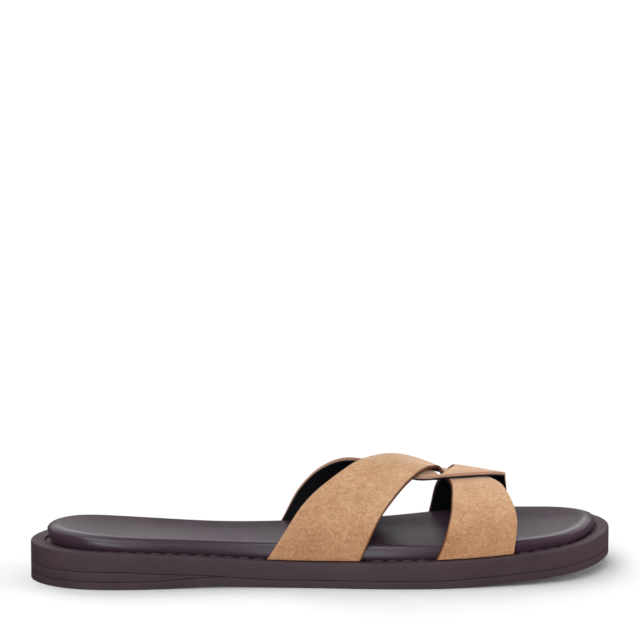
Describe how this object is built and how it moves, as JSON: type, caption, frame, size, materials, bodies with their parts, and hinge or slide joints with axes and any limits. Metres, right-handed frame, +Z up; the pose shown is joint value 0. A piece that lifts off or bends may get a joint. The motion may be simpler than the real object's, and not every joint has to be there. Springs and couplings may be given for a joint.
{
  "type": "slide sandal",
  "caption": "Flat slide sandal for the right foot: wide suede straps looped through each other over the instep, on a dished leather footbed with a rolled edge and a low rubber sole.",
  "frame": {"origin": "on the floor, under the middle of the object's box", "axes": "+X from heel to toe, +Y from the outer side of the foot to the inner side, +Z up"},
  "size_m": [0.2651, 0.0957, 0.0515],
  "materials": {
    "outsole": "satin, dark aubergine brown",
    "heel_lift": "satin, dark aubergine brown",
    "midsole": "satin, dark aubergine brown",
    "footbed": "smooth leather, grey violet",
    "upper": "tan suede outside, dark lining inside"
  },
  "bodies": {
    "root": {"outsole": "outsole", "heel_lift": "heel_lift", "midsole": "midsole", "footbed": "footbed", "upper": "upper"}
  },
  "joints": []
}
